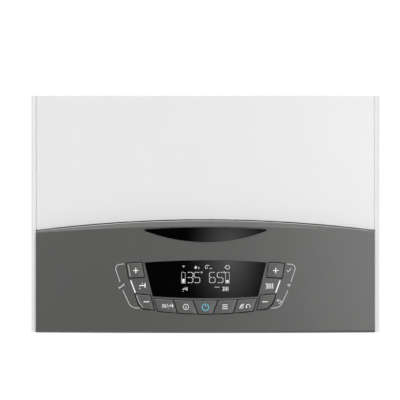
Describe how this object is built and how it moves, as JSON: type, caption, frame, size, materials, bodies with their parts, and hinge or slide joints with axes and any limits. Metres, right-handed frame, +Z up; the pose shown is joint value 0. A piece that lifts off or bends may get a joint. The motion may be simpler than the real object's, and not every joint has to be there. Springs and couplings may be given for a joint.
{
  "type": "condensing boiler",
  "caption": "Wall-hung condensing combi boiler: lift-off white cover, drop-down grey control panel with display and push keys, coaxial flue collar and pipe connections below.",
  "frame": {"origin": "centre of the wall bracket's wall face", "axes": "+Z up, +Y into the wall, +X to the right of someone who faces the boiler"},
  "size_m": [0.4, 0.3195, 0.785],
  "materials": {
    "white_paint": "smooth white powder coat, low sheen",
    "galvanised_steel": "zinc-coated sheet, dull",
    "grey_fascia": "fine satin moulded face",
    "black_gloss": "polished black",
    "key_grey": "satin, slightly raised edges",
    "black_plastic": "moulded black",
    "grey_plastic": "moulded grey",
    "board_green": "coated circuit board",
    "cast_alloy": "die cast, fine matt",
    "stainless_steel": "pressed and brazed stainless steel",
    "red_paint": "gloss red paint",
    "clear_glass": "clear borosilicate",
    "copper_pipe": "drawn copper, lightly oxidised",
    "rubber": "matt black rubber",
    "brass": "machined brass"
  },
  "bodies": {
    "casing": {"air_gas_mixer": "black_plastic", "air_intake_cap": "grey_plastic", "back_frame": "galvanised_steel", "burner_door": "cast_alloy", "chamber_box": "galvanised_steel", "chamber_cover": "galvanised_steel", "cold_water_connector": "brass", "condensate_hose": "rubber", "condensate_trap": "grey_plastic", "connection_plate": "galvanised_steel", "diverter_actuator": "grey_plastic", "exchanger_coil": "stainless_steel", "expansion_vessel": "red_paint", "fan_housing": "cast_alloy", "fan_motor": "black_plastic", "flow_manifold": "black_plastic", "flow_pipe": "copper_pipe", "flue_collar": "cast_alloy", "flue_inner_tube": "cast_alloy", "gas_connector": "brass", "gas_pipe": "copper_pipe", "gas_valve": "cast_alloy", "heat_exchanger_body": "grey_plastic", "heating_flow_connector": "brass", "heating_return_connector": "brass", "hot_water_connector": "brass", "left_hinge_bracket": "galvanised_steel", "left_side_panel": "white_paint", "plate_heat_exchanger": "stainless_steel", "pressure_gauge": "black_plastic", "pump_body": "black_plastic", "pump_motor": "grey_plastic", "return_manifold": "black_plastic", "return_pipe": "copper_pipe", "right_hinge_bracket": "galvanised_steel", "right_side_panel": "white_paint", "sight_glass": "clear_glass", "top_panel": "white_paint", "wall_bracket": "galvanised_steel"},
    "control_panel": {"fascia": "grey_fascia", "badge_plate": "black_gloss", "display_window": "black_gloss", "display_module": "black_plastic", "key_board": "board_green", "main_board": "board_green", "control_housing": "black_plastic"},
    "heating_mode_key": {"heating_mode_key": "key_grey"},
    "information_key": {"information_key": "key_grey"},
    "left_minus_key": {"left_minus_key": "key_grey"},
    "left_plus_key": {"left_plus_key": "key_grey"},
    "menu_key": {"menu_key": "key_grey"},
    "on_off_key": {"on_off_key": "key_grey"},
    "reset_key": {"reset_key": "key_grey"},
    "right_minus_key": {"right_minus_key": "key_grey"},
    "right_plus_key": {"right_plus_key": "key_grey"},
    "fan_wheel": {"fan_impeller": "cast_alloy"},
    "filling_tap": {"filling_tap_knob": "black_plastic"},
    "safety_valve": {"safety_valve_knob": "red_paint"},
    "cover": {"front_cover": "white_paint"}
  },
  "joints": [
    {"name": "control_panel_hinge", "type": "hinge", "parent": "casing", "child": "control_panel", "pos_m": [0, -0.289, -0.678], "axis": [1, 0, 0], "range_deg": [0, 90]},
    {"name": "heating_mode_key_press", "type": "slide", "parent": "control_panel", "child": "heating_mode_key", "axis": [0, 1, 0], "range_m": [0, 0.0008], "stiffness_N_per_m": 900, "springref_m": -0.0006},
    {"name": "information_key_press", "type": "slide", "parent": "control_panel", "child": "information_key", "axis": [0, 1, 0], "range_m": [0, 0.0008], "stiffness_N_per_m": 900, "springref_m": -0.0006},
    {"name": "left_minus_key_press", "type": "slide", "parent": "control_panel", "child": "left_minus_key", "axis": [0, 1, 0], "range_m": [0, 0.0008], "stiffness_N_per_m": 900, "springref_m": -0.0006},
    {"name": "left_plus_key_press", "type": "slide", "parent": "control_panel", "child": "left_plus_key", "axis": [0, 1, 0], "range_m": [0, 0.0008], "stiffness_N_per_m": 900, "springref_m": -0.0006},
    {"name": "menu_key_press", "type": "slide", "parent": "control_panel", "child": "menu_key", "axis": [0, 1, 0], "range_m": [0, 0.0008], "stiffness_N_per_m": 900, "springref_m": -0.0006},
    {"name": "on_off_key_press", "type": "slide", "parent": "control_panel", "child": "on_off_key", "axis": [0, 1, 0], "range_m": [0, 0.0008], "stiffness_N_per_m": 900, "springref_m": -0.0006},
    {"name": "reset_key_press", "type": "slide", "parent": "control_panel", "child": "reset_key", "axis": [0, 1, 0], "range_m": [0, 0.0008], "stiffness_N_per_m": 900, "springref_m": -0.0006},
    {"name": "right_minus_key_press", "type": "slide", "parent": "control_panel", "child": "right_minus_key", "axis": [0, 1, 0], "range_m": [0, 0.0008], "stiffness_N_per_m": 900, "springref_m": -0.0006},
    {"name": "right_plus_key_press", "type": "slide", "parent": "control_panel", "child": "right_plus_key", "axis": [0, 1, 0], "range_m": [0, 0.0008], "stiffness_N_per_m": 900, "springref_m": -0.0006},
    {"name": "fan_spin", "type": "hinge", "parent": "casing", "child": "fan_wheel", "pos_m": [0.125, -0.222, -0.11], "axis": [0, 0, 1], "continuous": true},
    {"name": "filling_tap_turn", "type": "hinge", "parent": "casing", "child": "filling_tap", "pos_m": [0.0335, -0.12, -0.6565], "axis": [0, 0, -1], "range_deg": [0, 90]},
    {"name": "safety_valve_turn", "type": "hinge", "parent": "casing", "child": "safety_valve", "pos_m": [0.14, -0.1603, -0.572], "axis": [0, -1, 0], "range_deg": [0, 90]},
    {"name": "front_cover_slide", "type": "slide", "parent": "casing", "child": "cover", "axis": [0, -1, 0], "range_m": [0, 0.15]}
  ]
}
